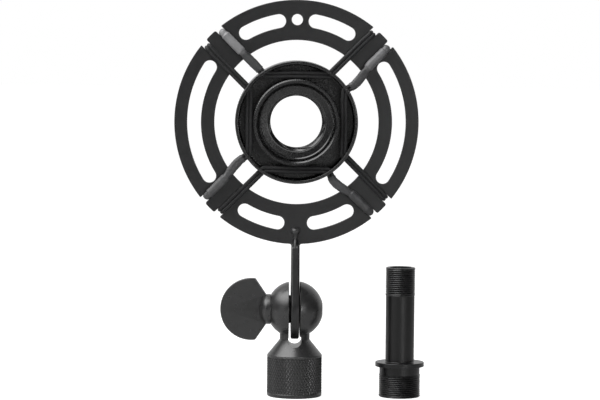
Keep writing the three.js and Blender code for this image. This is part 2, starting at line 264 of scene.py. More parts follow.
def bright_steel():
    """Bare steel with faint tool lines round it."""
    n = Nodes("plain_steel")
    colour = n.mix(n.vary(300, 0, 1), (0.23, 0.23, 0.24), (0.36, 0.36, 0.37))
    roughness = n.spread(n.noise(900, 3, stretch=(1, 1, 8)), 0.24, 0.42)
    return n.finish(colour, roughness, n.grain(3000, 0.00002, 0.4), metallic=1.0)


def black_nylon():
    """Matt moulded plastic."""
    n = Nodes("black_nylon")
    colour = n.mix(n.vary(250, 0, 1), (0.008, 0.008, 0.0085), (0.015, 0.015, 0.0155))
    roughness = n.vary(700, 0.5, 0.65)
    return n.finish(colour, roughness, n.grain(3500, 0.00003, 0.5))


def braided_cord():
    """Braid of fine yarns: crowns catch more light than the gaps between them."""
    n = Nodes("braided_cord")
    colour = n.mix(n.attribute("crown"), (0.002, 0.002, 0.002), (0.03, 0.03, 0.031))
    fuzz = n.spread(n.noise(9000, 2), 0, 1, 0.4, 0.9)
    colour = n.mix(fuzz, colour, (0.016, 0.016, 0.0165))
    roughness = n.vary(3000, 0.55, 0.7, 2)
    material = n.finish(colour, roughness, n.grain(12000, 0.00003, 0.8), specular=0.3)
    put(n.shader, {"Sheen Weight": 0.03, "Sheen Roughness": 0.4})
    return material


def shrink_tube():
    """Dull polyolefin tube with fine lengthways creases. It is paler where it is drawn tight over the
    ferrule, and the pale share also follows how much light falls on each sleeve, as painted light.
    """
    n = Nodes("shrink_tube")
    clouds = n.vary(260, 0, 1, 4)
    slack = n.mix(clouds, (0.04, 0.04, 0.041), (0.058, 0.058, 0.06))
    taut_and_lit = n.mix(clouds, (0.25, 0.25, 0.255), (0.31, 0.31, 0.315))
    # Painted light: the pale colour stands for tightness over the ferrule and for light falling on the
    # sleeve.
    colour = n.mix(n.attribute("stretched_and_lit"), slack, taut_and_lit)
    scuff = n.spread(n.noise(1500, 4, 0.7), 0, 0.5, 0.55, 0.8)
    colour = n.mix(scuff, colour, (0.15, 0.15, 0.153))
    roughness = n.vary(500, 0.36, 0.48)
    return n.finish(colour, roughness, n.grain(1100, 0.00008, 0.4, 3))


MATERIALS = {
    "cast_black": powder_coat(),
    "turned_black": gloss_black(),
    "turned_satin": satin_paint(),
    "turned_oxide": oxide_black(),
    "plain_steel": bright_steel(),
    "washer_nylon": black_nylon(),
    "cord_braid": braided_cord(),
    "shrink_tube": shrink_tube(),
}

# ------ mesh building


def new_object(name, data):
    piece = bpy.data.objects.new(name, data)
    bpy.context.scene.collection.objects.link(piece)
    return piece


def mesh_object(name, points, faces, place):
    """points in millimetres in a local frame, which place sets in the assembly."""
    mesh = bpy.data.meshes.new(name)
    mesh.from_pydata(np.asarray(points, float).tolist(), [], faces)
    mesh.transform(place @ Matrix.Scale(MM, 4))
    mesh.update()
    return new_object(name, mesh)


def add_values(mesh, name, values):
    """Writes one value per point for a material to read."""
    attribute = mesh.attributes.new(name, "FLOAT", "POINT")
    attribute.data.foreach_set("value", values.astype(np.float32))


def band_faces(count, sides, base=0, closed=False):
    """Quads between count neighbouring rings of points, each of so many sides, from point base."""
    faces = []
    for i in range(count if closed else count - 1):
        a, b = base + i * sides, base + (i + 1) % count * sides
        for j in range(sides):
            k = (j + 1) % sides
            faces.append((a + j, a + k, b + k, b + j))
    return faces


def end_faces(count, sides):
    """One flat face over the first ring of points and one over the last."""
    last = (count - 1) * sides
    return [tuple(range(sides)), tuple(range(last, last + sides))]


def solid(name, points, faces, place):
    """A mesh object with doubled points merged and all faces turned outwards."""
    piece = mesh_object(name, points, faces, place)
    bm = bmesh.new()
    bm.from_mesh(piece.data)
    bmesh.ops.remove_doubles(bm, verts=bm.verts, dist=1e-7)
    bmesh.ops.recalc_face_normals(bm, faces=bm.faces)
    bm.to_mesh(piece.data)
    bm.free()
    return piece


def arc_points(x, y, radius, start, end, steps):
    """Points along an arc, from angle start to angle end in degrees."""
    angles = np.radians(np.linspace(start, end, steps + 1))
    return [(x + radius * math.cos(a), y + radius * math.sin(a)) for a in angles]


def corner(before, here, after, radius):
    """Directions to a corner's neighbours, half the angle between them, and how far from it its
    rounding starts."""
    a, b = before - here, after - here
    length_a, length_b = np.linalg.norm(a), np.linalg.norm(b)
    a, b = a / length_a, b / length_b
    half = math.acos(max(-1, min(1, float(a @ b)))) / 2
    return a, b, half, min(radius / math.tan(half), 0.49 * length_a, 0.49 * length_b)


def soften(points, closed=True, steps=4):
    """Rounds corners. Each point is (x, y) or (x, y, radius)."""
    result = []
    count = len(points)
    for i, point in enumerate(points):
        radius = point[2] if len(point) > 2 else 0
        if radius <= 0 or (not closed and i in (0, count - 1)):
            result.append((point[0], point[1]))
            continue
        near = [np.array(points[k % count][:2], float) for k in (i - 1, i, i + 1)]
        here = near[1]
        before, after, half, cut = corner(*near, radius)
        radius = cut * math.tan(half)
        middle = (before + after) / np.linalg.norm(before + after)
        centre = here + middle * radius / math.sin(half)
        first, last = here + before * cut - centre, here + after * cut - centre
        turn = math.atan2(first[0] * last[1] - first[1] * last[0], float(first @ last))
        for k in range(steps + 1):
            c, s = math.cos(turn * k / steps), math.sin(turn * k / steps)
            x = centre[0] + first[0] * c - first[1] * s
            y = centre[1] + first[0] * s + first[1] * c
            result.append((x, y))
    return result


def line_rows(start, end, step, relief):
    """Evenly spaced rows from start to end, shaped by a relief function that fades at both ends."""
    fade_length = 0.6
    length = math.dist(start, end)
    count = max(2, round(length / step))
    rows = []
    for i in range(count + 1):
        t = i / count
        r = start[0] + (end[0] - start[0]) * t
        z = start[1] + (end[1] - start[1]) * t
        fade = min(1, min(t, 1 - t) * length / fade_length)
        rows.append((r, z, relief, fade))
    return rows


def plain_rows(points, closed=False, steps=4):
    return [(r, z, None, 0) for r, z in soften(points, closed, steps)]


def turned(name, rows, steps, place):
    """A solid of revolution about local +Z. A row is (radius, height, relief, fade). Rows that
    start and end on the axis make an open profile; otherwise the profile closes on itself."""
    on_axis = rows[0][0] < 1e-6 and rows[-1][0] < 1e-6
    angles = np.arange(steps) * math.tau / steps
    points = []
    for r, z, relief, fade in rows:
        radii = np.full(steps, float(r))
        if relief is not None:
            radii = radii + fade * relief(angles, z)
        x, y = radii * np.cos(angles), radii * np.sin(angles)
        points.append(np.stack([x, y, np.full(steps, z)], 1))
    faces = band_faces(len(rows), steps, closed=not on_axis)
    return solid(name, np.concatenate(points), faces, place)


def zigzag(turns):
    """Falls from 1 at each whole number of turns to 0 halfway between."""
    return np.abs(2 * (turns % 1) - 1)


def thread(pitch, depth):
    """A rounded V thread, cut inwards from the crests."""
    return lambda angles, z: -depth * zigzag(z / pitch - angles / math.tau) ** 1.4


def diamond_knurl(count, pitch, depth):
    """Two crossing sets of grooves, count round the piece, that repeat every pitch along it."""

    def relief(angles, z):
        across = angles * count / math.tau
        crossing = np.maximum(zigzag(across + z / pitch), zigzag(across - z / pitch))
        return -depth * crossing**1.5

    return relief


def straight_knurl(count, depth):
    """Grooves along the piece, count of them round it."""
    return lambda angles, z: -depth * zigzag(angles * count / math.tau)


def inset(loop, distance):
    """Moves a closed loop sideways, to the left of its direction."""
    points = np.array(loop, float)
    ahead = np.roll(points, -1, 0) - points
    ahead /= np.linalg.norm(ahead, axis=1)[:, None]
    normal = np.stack([-ahead[:, 1], ahead[:, 0]], 1)
    before = np.roll(normal, 1, 0)
    share = 1 + (normal * before).sum(1)
    return points + distance * (normal + before) / share[:, None]


def turns_left(loop):
    """True for an anticlockwise loop."""
    points = np.array(loop, float)
    ahead = np.roll(points, -1, 0)
    return (points[:, 0] * ahead[:, 1] - points[:, 1] * ahead[:, 0]).sum() > 0


def covered(x, y, loops):
    """True where a point is inside an odd number of closed loops."""
    crossings = 0
    for loop in loops:
        after = np.roll(loop, -1, 0)
        spans = (loop[:, 1] > y) != (after[:, 1] > y)
        a, b = loop[spans], after[spans]
        at = a[:, 0] + (y - a[:, 1]) * (b[:, 0] - a[:, 0]) / (b[:, 1] - a[:, 1])
        crossings += np.count_nonzero(at > x)
    return crossings % 2 == 1


def sheet(name, loops, low, high, bevel, place, steps=4):
    """A flat plate from closed loops, the first one its outline, with rounded edges."""
    rim_width = 0.06
    loops = [loop if turns_left(loop) == (i == 0) else loop[::-1] for i, loop in enumerate(loops)]
    angles = [math.pi / 2 * k / steps for k in range(steps + 1)]
    levels = [(bevel * (1 - math.sin(a)), low + bevel * (1 - math.cos(a))) for a in angles]
    levels = [(bevel + rim_width, low)] + levels
    levels += [(distance, low + high - z) for distance, z in reversed(levels)]
    points, faces = [], []
    for loop in loops:
        faces += band_faces(len(levels), len(loop), len(points))
        for distance, z in levels:
            points += [(x, y, z) for x, y in inset(loop, distance)]
    rims = [inset(loop, bevel + rim_width) for loop in loops]
    flat = [Vector(point) for rim in rims for point in rim]
    edges, start = [], 0
    for rim in rims:
        edges += [(start + j, start + (j + 1) % len(rim)) for j in range(len(rim))]
        start += len(rim)
    corners, _, triangles, _, _, _ = delaunay_2d_cdt(flat, edges, [], 1, 1e-7)
    middles = [sum((corners[j] for j in triangle), Vector((0, 0))) / 3 for triangle in triangles]
    triangles = [t for t, middle in zip(triangles, middles) if covered(middle.x, middle.y, rims)]
    for z in (low, high):
        start = len(points)
        points += [(x, y, z) for x, y in corners]
        faces += [tuple(start + j for j in triangle) for triangle in triangles]
    return solid(name, points, faces, place)


def combine(piece, others, operation):
    """Joins other solids to the piece or cuts them from it, and removes them."""
    for other in others:
        step = piece.modifiers.new("combine", "BOOLEAN")
        step.operation = operation
        step.solver = "EXACT"
        step.object = other
    depsgraph = bpy.context.evaluated_depsgraph_get()
    result = bpy.data.meshes.new_from_object(piece.evaluated_get(depsgraph), depsgraph=depsgraph)
    piece.modifiers.clear()
    piece.data = result
    for other in others:
        bpy.data.objects.remove(other)


def bar(radius, low, high, place, steps=48):
    """A plain rod about local +Z, used to cut holes."""
    rows = plain_rows([(0, low), (radius, low), (radius, high), (0, high)])
    return turned("bar", rows, steps, place)


def slab(low, high, place):
    """A rectangular block between two opposite corners."""
    corners = list(itertools.product(*zip(low, high)))
    faces = [(0, 1, 3, 2), (4, 6, 7, 5), (0, 4, 5, 1), (2, 3, 7, 6), (0, 2, 6, 4), (1, 5, 7, 3)]
    return mesh_object("slab", corners, faces, place)


def mark_edge_wear_and_highlight(mesh):
    """Writes, per point, 1 inside a rounded edge whose faces are all small and turned. The materials
    paint these points lighter, partly as rubbed edges and partly as painted highlight.
    """
    largest_face = 8e-7
    bm = bmesh.new()
    bm.from_mesh(mesh)
    bm.normal_update()
    wear_and_highlight = np.zeros(len(bm.verts), np.float32)
    for i, vertex in enumerate(bm.verts):
        normals = [face.normal for face in vertex.link_faces]
        if not normals:
            continue
        turn = max(a.angle(b, 0) for a in normals for b in normals)
        area = max(face.calc_area() for face in vertex.link_faces)
        if 0.3 < turn < 1.5 and area < largest_face:
            wear_and_highlight[i] = min(1, turn / 0.8)
    bm.free()
    add_values(mesh, "edge_wear_and_highlight", wear_and_highlight)


def dress(piece, body, slot, node, sharp=35, wear_and_highlight=False, finish=None):
    """Gives a finished mesh its material and its shading, puts it under its body when it has one, and
    hides the CAD node it stands for.
    """
    mesh = piece.data
    mesh.materials.clear()
    mesh.materials.append(MATERIALS[finish or slot])
    mesh.polygons.foreach_set("use_smooth", [True] * len(mesh.polygons))
    mesh.polygons.foreach_set("material_index", [0] * len(mesh.polygons))
    mesh.set_sharp_from_angle(angle=math.radians(sharp))
    # Rounded edges are marked here to be painted lighter, as painted highlight and rubbed edges.
    if wear_and_highlight:
        mark_edge_wear_and_highlight(mesh)
    flat_faces = piece.modifiers.new("flat_faces", "WEIGHTED_NORMAL")
    flat_faces.keep_sharp = True
    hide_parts(node)
    if body is not None:
        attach(piece, body)


# ------ suspension ring and arm


def diagonal(quarter):
    return math.radians(45 + 90 * quarter)


def on_diagonal(quarter, out, side):
    """A point over a diagonal of the ring; side is positive anticlockwise, seen from the front."""
    c, s = math.cos(diagonal(quarter)), math.sin(diagonal(quarter))
    return out * c - side * s, out * s + side * c


def from_diagonal(quarter, x, y):
    """How far points lie out along a diagonal, and how far clockwise of it."""
    c, s = math.cos(diagonal(quarter)), math.sin(diagonal(quarter))
    return x * c + y * s, x * s - y * c


def ring_outline():
    """The ring's outer edge: a tab between two notches on each diagonal, and the arm's root."""
    near = NOTCH_LATERAL - NOTCH_WIDTH / 2
    far = NOTCH_LATERAL + NOTCH_WIDTH / 2
    floor = RING_OUTER - NOTCH_DEPTH
    gap = math.degrees(math.asin(far / RING_OUTER)) + 0.8
    root = 5.3

    def rim(side):
        return math.sqrt(RING_OUTER**2 - side**2)

    loop = []
    for quarter in range(4):
        half = [(near, rim(near), 1.0), (near, floor, 0.9), (far, floor, 0.9), (far, rim(far), 0.5)]
        tab = [(-side, out, r) for side, out, r in reversed(half)] + [(0, RING_OUTER, 0)] + half
        loop += [(*on_diagonal(quarter, out, side), r) for side, out, r in tab]
        start, end = 45 + 90 * quarter + gap, 135 + 90 * quarter - gap
        if quarter == 2:
            loop += arc_points(0, 0, RING_OUTER, start, 270 - root, 24)
            top, bottom = rim(ARM_HALF), RING_OUTER + 2.2
            loop += [(-ARM_HALF, -top, 1.5), (-ARM_HALF, -bottom)]
            loop += [(ARM_HALF, -bottom), (ARM_HALF, -top, 1.5)]
            loop += arc_points(0, 0, RING_OUTER, 270 + root, end, 24)
        else:
            loop += arc_points(0, 0, RING_OUTER, start, end, 48)
    return soften(loop)


def curved_slot(start, end):
    """A round-ended slot along the ring, between the angles of its two end centres."""
    half = SLOT_WIDTH / 2
    steps = round((end - start) / 2)
    first = arc_points(0, 0, SLOT_MID, start, end, 1)
    loop = arc_points(0, 0, SLOT_MID + half, start, end, steps)
    loop += arc_points(*first[1], half, end, end + 180, 14)[1:-1]
    loop += arc_points(0, 0, SLOT_MID - half, end, start, steps)
    loop += arc_points(*first[0], half, start + 180, start + 360, 14)[1:-1]
    return loop


def arm_outline():
    """Side view of the arm: a round lug drawn in to a narrow neck that meets the ring's face."""
    neck, reach = 5.0, PIVOT_BELOW - RING_OUTER
    tangent = math.degrees(math.acos(LUG_RADIUS / math.hypot(reach, neck)) + math.atan2(neck, reach))
    loop = arc_points(0, -PIVOT_BELOW, LUG_RADIUS, 90 + tangent, 450 - tangent, 72)
    tip = [(neck, -RING_OUTER - 1.4, 3.0), (1.3, -RING_OUTER + 1.2, 1.25)]
    loop += tip + [(-x, y, r) for x, y, r in reversed(tip)]
    return soften(loop, steps=8)


def arm_nose():
    """The cast neck between the arm and the ring's face: it narrows, then fans out into the face.
    A station is its place along the arm, its half width and its height."""
    stations = [
        (-67.0, 1.9, 5.1), (-65.7, 1.9, 4.9), (-64.6, 1.85, 4.4), (-63.6, 1.7, 3.8), (-62.6, 1.4, 3.3),
        (-61.7, 1.15, 3.1), (-60.9, 1.2, 3.1), (-60.0, 1.6, 3.4), (-59.2, 2.15, 3.8), (-58.5, 2.5, 4.0),
        (-57.8, 2.65, 3.9), (-57.1, 2.6, 3.5), (-56.5, 2.35, 2.9), (-56.1, 1.9, 2.2), (-55.9, 1.3, 1.6),
    ]
    around = 24
    angles = np.linspace(0, math.pi, around)
    points = []
    for y, half, top in stations:
        front = [(half * math.cos(a), y, 1.0 + (top - 1.0) * math.sin(a)) for a in angles]
        points += front + [(-half, y, 0.2), (half, y, 0.2)]
    count, sides = len(stations), around + 2
    faces = band_faces(count, sides) + end_faces(count, sides)
    return solid("arm_nose", points, faces, RING_FACE)


def build_ring_frame():
    loops = [ring_outline(), arc_points(0, 0, RING_INNER, 0, 357, 119)]
    loops.append(arc_points(0, SLOT_MID, 2.95, 0, 350, 35))
    loops += [curved_slot(-32, 32), curved_slot(148, 212)]
    for middle in (90, 270):
        loops += [curved_slot(middle + 10.2, middle + 30), curved_slot(middle - 30, middle - 10.2)]
    ring = sheet("ring_and_arm", loops, -PLATE_HALF, PLATE_HALF, 0.28, RING_FACE)
    bore = arc_points(0, -PIVOT_BELOW, 3.3, 0, 352, 44)
    arm = sheet("arm", [arm_outline(), bore], -ARM_HALF, ARM_HALF, 0.9, ARM_PLANE, steps=8)
    combine(ring, [arm, arm_nose()], "UNION")
    dress(ring, "frame", "cast_black", "ring_frame", sharp=28, wear_and_highlight=True)


# ------ swivel and thumbscrew

SOCKET_RADIUS, SOCKET_TOP, CONE_TOP, NECK_RADIUS = 14.7, 22.3, 30.4, 8.0
BORE_RADIUS, BORE_DEPTH = 7.95, 18.0
BALL_RADIUS, KEYHOLE_RADIUS, KEYHOLE_BELOW = 15.1, 3.6, 16.0
LEFT_JAW, RIGHT_JAW = -3.3, 2.6
STUD_BORE, LEFT_FLAT = 3.3, 12.7
STAND_PITCH = 25.4 / 27


def socket_rows():
    """From the bore's floor out round the foot, up the knurl and the cone, and into the ball."""
    cut = thread(STAND_PITCH, 0.5)
    grip = diamond_knurl(55, 2.87, 0.42)
    rows = plain_rows([(0, BORE_DEPTH), (BORE_RADIUS, BORE_DEPTH)])
    rows += line_rows((BORE_RADIUS, BORE_DEPTH - 0.4), (BORE_RADIUS, 1.0), 0.18, cut)
    wall = SOCKET_RADIUS - 0.1
    edge = [(BORE_RADIUS, 0.8), (BORE_RADIUS + 0.8, 0, 0.2), (wall, 0, 1.3), (wall, 1.7)]
    rows += plain_rows(edge, steps=6)
    rows += line_rows((SOCKET_RADIUS, 1.8), (SOCKET_RADIUS, SOCKET_TOP - 0.55), 0.24, grip)
    head = PIVOT_HEIGHT - 9
    cone = [(wall, SOCKET_TOP - 0.45), (wall, SOCKET_TOP, 0.25)]
    cone += [(NECK_RADIUS, CONE_TOP, 0.5), (NECK_RADIUS, head), (0, head)]
    rows += plain_rows(cone)
    return rows


def half_ball(side):
    """Half of the split ball, turned about the stud's axis: flat inside, bored, flat outside."""
    jaw = abs(LEFT_JAW if side < 0 else RIGHT_JAW)
    inner = math.degrees(math.acos(jaw / BALL_RADIUS))
    outer_flat = LEFT_FLAT if side < 0 else math.sqrt(BALL_RADIUS**2 - STUD_BORE**2)
    outer = math.degrees(math.acos(outer_flat / BALL_RADIUS))
    sweep = np.radians(np.linspace(inner, outer, 34))
    arc = [(BALL_RADIUS * math.sin(a), BALL_RADIUS * math.cos(a)) for a in sweep]
    arc[0] = (*arc[0], 0.35)
    profile = [(STUD_BORE, jaw, 0.15)] + [arc[0]] + arc[2:]
    if side < 0:
        profile[-1] = (*profile[-1], 0.4)
        profile.append((STUD_BORE, outer_flat, 0.2))
    rows = [(r, side * z, relief, fade) for r, z, relief, fade in plain_rows(profile, closed=True)]
    return turned("half_ball", rows, 144, TO_RIGHT)


def build_swivel():
    body = turned("swivel_socket", socket_rows(), 330, UPRIGHT_SOCKET)
    far = 30
    slot = slab((LEFT_JAW, -far, -KEYHOLE_BELOW), (RIGHT_JAW, far, far), AT_PIVOT)
    keyhole_place = AT_PIVOT @ Matrix.Translation((0, 0, -KEYHOLE_BELOW * MM)) @ ABOUT_X
    keyhole = bar(KEYHOLE_RADIUS, -far, far, keyhole_place, 64)
    combine(body, [slot, keyhole], "DIFFERENCE")
    combine(body, [half_ball(-1), half_ball(1)], "UNION")
    dress(body, "swivel", "turned_black", "swivel_body", sharp=32, finish="turned_satin")


def wing_outline():
    """Most of a disc, cut in to the hub by two straight edges."""
    centre, radius, corner_angle = -23.3, 16.6, 82.5
    loop = arc_points(centre, 0, radius, corner_angle, 360 - corner_angle, 96)
    loop[0], loop[-1] = (*loop[0], 0.8), (*loop[-1], 0.8)
    del loop[1], loop[-2]
    loop += [(-15.4, -8.05), (-13.8, -6.05), (-13.8, 6.05), (-15.4, 8.05)]
    return soften(loop, steps=6)


def build_thumbscrew():
    face, dome, end, radius = -12.75, -14.6, -19.05, 8.05
    rows = [(0, face), (radius, face, 0.5), (radius, dome)]
    sweep = np.radians(np.arange(8, 90, 6))
    rows += [(radius * math.cos(a), dome + (end - dome) * math.sin(a)) for a in sweep]
    hub = turned("thumbscrew", plain_rows(rows + [(0, end)]), 96, TO_RIGHT)
    wing = sheet("wing", [wing_outline()], -1.5, 1.5, 0.45, WING_PLANE)
    combine(hub, [wing], "UNION")
    combine(hub, [bar(3.2, -16.4, -11, TO_RIGHT)], "DIFFERENCE")
    dress(hub, "thumbscrew", "cast_black", "thumbscrew_wing", sharp=22, wear_and_highlight=True, finish="turned_satin")

    low, high = box_mm("clamp_stud", PIVOT)
    rows = plain_rows([(0, low.x), (2.6, low.x), (3.0, low.x + 0.4)])
    rows += line_rows((3.0, low.x + 0.5), (3.0, high.x - 0.5), 0.2, thread(1.0, 0.32))
    rows += plain_rows([(3.0, high.x - 0.4), (2.6, high.x), (0, high.x)])
    stud = turned("stud", rows, 48, TO_RIGHT)
    dress(stud, "thumbscrew", "plain_steel", "clamp_stud")


def flat_ring(name, inner, outer, low, high, place, edge):
    """A washer with rounded edges."""
    points = [(inner, low, edge), (outer, low, edge), (outer, high, edge), (inner, high, edge)]
    return turned(name, plain_rows(points, closed=True), 128, place)


def build_friction_washers():
    for name, near, far in (("left", LEFT_JAW + 0.1, -2.3), ("right", 2.25, RIGHT_JAW - 0.05)):
        washer = flat_ring(name + "_washer", STUD_BORE, 7.5, near, far, TO_RIGHT, 0.12)
        dress(washer, "swivel", "washer_nylon", "friction_washer_" + name)


# ------ suspended cup and ring nut

NUT_TEETH = 120
FLOOR_HOLE = 19.2


def build_cup():
    floor = CUP_BACK + 2
    profile = [
        (FLOOR_HOLE, CUP_BACK, 0.25), (CUP_OUTER, CUP_BACK, 1.3), (CUP_OUTER - 0.2, CUP_FRONT, 0.5),
        (CUP_INNER, CUP_FRONT, 0.35), (CUP_INNER, floor, 0.9), (FLOOR_HOLE, floor, 0.25),
    ]
    cup = turned("cup", plain_rows(profile, closed=True), 192, RING_FACE)
    holes = []
    for quarter in range(4):
        for side in (-1, 1):
            turn = Matrix.Rotation(diagonal(quarter), 4, "Z")
            shift = Matrix.Translation(Vector((0, side * CORD_LATERAL, CORD_HOLE_HEIGHT)) * MM)
            place = RING_FACE @ turn @ shift @ ABOUT_Y
            holes.append(bar(CORD_HOLE_RADIUS, CUP_INNER - 4, CUP_OUTER + 2, place, 24))
    combine(cup, holes, "DIFFERENCE")
    dress(cup, "cup", "turned_black", "inner_cup", wear_and_highlight=True)


def build_ring_nut():
    outer, front, back = disc_sizes("ring_nut")
    flange, sleeve, lip = -4.0, 18.8, 13.8
    chamfer, groove = 22.35, 19.9
    teeth = straight_knurl(NUT_TEETH, 0.34)
    rows = plain_rows([
        (lip, back), (lip + 0.3, back), (sleeve - 0.4, back), (sleeve, back + 0.4),
        (sleeve, -9.2), (17.5, -9.2), (17.5, -8.1), (sleeve, -8.1), (sleeve, flange),
        (outer - 0.5, flange), (outer - 0.2, flange + 0.4),
    ])
    rows += line_rows((outer, flange + 0.5), (outer, front - 0.7), 1.4, teeth)
    rows.append((outer - 0.12, front - 0.45, teeth, 0.9))
    rows.append((chamfer + 0.15, front - 0.08, teeth, 0.3))
    rows += plain_rows([
        (chamfer, front), (21.5, front, 0.1), (20.6, front - 0.9, 0.15),
        (20.5, front - 2.2, 0.3), (groove, front - 2.5, 0.3), (19.6, front - 2.2, 0.2),
        (19.5, front - 0.7, 0.1), (19.2, front - 0.7, 0.1), (18.7, front - 1.2, 0.15),
        (15.7, front - 1.4, 0.3), (15.5, front - 2.0),
    ])
    rows += line_rows((15.45, front - 2.2), (14.5, back + 1.6), 0.18, thread(1.25, 0.6))
    rows += plain_rows([(14.4, back + 1.5), (lip, back + 1.2, 0.2), (lip, back + 0.2)])
    nut = turned("threaded_ring_nut", rows, NUT_TEETH * 4, RING_FACE)
    dress(nut, "nut", "turned_black", "ring_nut", sharp=32)


def build_nut_keepers():
    """Two washers, either side of the cup's floor, and an open spring ring in the nut's groove."""
    washers = (("slip_washer", "nut_washer", "washer_nylon"),
               ("backing_washer", "retaining_washer", "plain_steel"))
    for name, node, slot in washers:
        radius, front, back = disc_sizes(node)
        washer = flat_ring(name, FLOOR_HOLE, radius, back, front, RING_FACE, 0.2)
        dress(washer, "cup", slot, node)
    _, front, back = disc_sizes("retaining_ring")
    loop = arc_points(0, 0, 20.6, 20, 340, 120) + arc_points(0, 0, 17.8, 340, 20, 120)
    ends = (0, 120, 121, 241)
    loop = [(*p, 0.6) if i in ends else p for i, p in enumerate(loop)]
    near_ends = {i + step for i in ends for step in (-1, 1)} - set(ends)
    loop = [p for i, p in enumerate(loop) if i not in near_ends]
    clip = sheet("circlip", [soften(loop)], back, front, 0.12, RING_FACE)
    dress(clip, "nut", "plain_steel", "retaining_ring")


# ------ elastic cords and sleeves
# BOW and the next constant, each sleeve's pale share, have one value per quarter, anticlockwise from the
# upper right. The pale share is partly tightness and partly painted light: sleeves facing the light are
# painted paler, those in shade darker.

BOW = (1.7, 0.1, 1.2, 2.2)
TAUT_AND_LIT = (0.38, 0.75, 0.14, 0.0)
CHORD_DISTANCE = 25.2


def sleeve_height(out):
    """Height of a sleeve's middle line: it climbs from the cup, then leans back on the ring."""
    return float(np.interp(out, [33, 39, 46.5, 60, 63], [3.3, 3.9, 4.75, 3.5, 3.0]))


def bow(quarter, out):
    """How far a sleeved run bows away from its neighbour, between the cup and the ring."""
    rise = min(1, max(0, (51 - out) / 14))
    fall = min(1, max(0, (out - 30.5) / 5))
    return BOW[quarter] * rise * rise * (3 - 2 * rise) * (0.25 + 0.75 * fall)


def bent(points, radii, step):
    """A path of straight runs and round bends through points, with even steps along it."""
    dense = [np.array(points[0], float)]
    for i in range(1, len(points) - 1):
        near = [np.array(points[k], float) for k in (i - 1, i, i + 1)]
        here = near[1]
        a, b, half, cut = corner(*near, radii[i])
        first, last = here + a * cut, here + b * cut
        for t in np.linspace(0, 1, 12):
            weight = 2 * t * (1 - t) * math.cos(math.pi / 2 - half)
            total = (1 - t) ** 2 + weight + t**2
            dense.append(((1 - t) ** 2 * first + weight * here + t**2 * last) / total)
    dense.append(np.array(points[-1], float))
    dense = np.array(dense)
    along = np.concatenate([[0], np.cumsum(np.linalg.norm(np.diff(dense, axis=0), axis=1))])
    even = np.linspace(0, along[-1], max(2, round(along[-1] / step)) + 1)
    return np.stack([np.interp(even, along, dense[:, k]) for k in range(3)], 1), even


def bow_path(path, quarter):
    """Moves the part of a path that lies on a sleeved run sideways by bow()."""
    out, aside = from_diagonal(quarter, path[:, 0], path[:, 1])
    moved = path.copy()
    for i in np.flatnonzero(np.abs(aside - CORD_LATERAL) < 2.2):
        moved[i, :2] += on_diagonal(quarter, 0, -bow(quarter, float(out[i])))
    return moved


def frames(path):
    """Width and height directions along a path, turning as little as they can."""
    tangents = np.gradient(path, axis=0)
    tangents /= np.linalg.norm(tangents, axis=1)[:, None]
    widths = np.zeros_like(path)
    width = np.cross((0.0, 0.0, 1.0), tangents[0])
    for i, tangent in enumerate(tangents):
        width = width - tangent * (width @ tangent)
        width /= np.linalg.norm(width)
        widths[i] = width
    return widths, np.cross(tangents, widths)


def tube_points(path, x, y):
    """Points round a path, at distances x and y along its width and height directions."""
    widths, heights = (side[:, None, :] for side in frames(path))
    return (path[:, None, :] + widths * x[..., None] + heights * y[..., None]).reshape(-1, 3)


def strand_path(quarter, offset):
    """Middle line of one strand, offset from the middle of the pair. A station is its diagonal,
    its distances out and aside, its height and its bend's radius."""
    across = quarter - 1
    side = CORD_LATERAL + offset
    sleeved = CORD_LATERAL + 0.7 * offset
    pinched = NOTCH_LATERAL + 0.85 * offset
    chord = (CHORD_DISTANCE + offset) * math.sqrt(2) - side
    over = RING_OUTER - NOTCH_DEPTH + STRAND_RADIUS + 0.1
    hop = over - 1.9 - offset
    back = -PLATE_HALF - STRAND_RADIUS - 0.05
    route = [
        (quarter, 53.4, -sleeved, sleeve_height(53.4), 0),
        (quarter, 47.0, -sleeved, sleeve_height(47.0), 6),
        (quarter, 36.5, -side, sleeve_height(36.5), 6),
        (quarter, chord, -side, CORD_HOLE_HEIGHT, 2.6),
        (across, chord, side, PLAIN_HEIGHT + 0.3, 2.6),
        (across, 46.0, side, PLAIN_HEIGHT, 8),
        (across, 57.0, side, PLAIN_HEIGHT, 8),
        (across, over, pinched, PLAIN_HEIGHT - 0.1, 1.7),
        (across, over, pinched, -0.4, 0.8),
        (across, hop, pinched - 0.4, back, 1.0),
        (across, hop, -pinched + 0.4, back, 1.0),
        (across, over, -pinched, -0.4, 0.8),
        (across, over, -sleeved, sleeve_height(over), 1.7),
        (across, 54.6, -sleeved, sleeve_height(54.6), 0),
    ]
    points = [(*on_diagonal(at, out, aside), height) for at, out, aside, height, _ in route]
    path, along = bent(points, [bend for *_, bend in route], 0.2)
    path = bow_path(bow_path(path, quarter), across % 4)
    return path, along


def strand_radius(path):
    """A strand is squeezed thinner inside a sleeve."""
    tight = np.zeros(len(path))
    for quarter in range(4):
        out, aside = from_diagonal(quarter, path[:, 0], path[:, 1])
        inside = (np.abs(aside - CORD_LATERAL) < 2.4) & (out > 36) & (path[:, 2] > 1)
        share = np.clip((out - 38) / 8, 0, 1)
        tight = np.maximum(tight, np.where(inside, share, 0))
    return STRAND_RADIUS * (1 - 0.3 * tight)


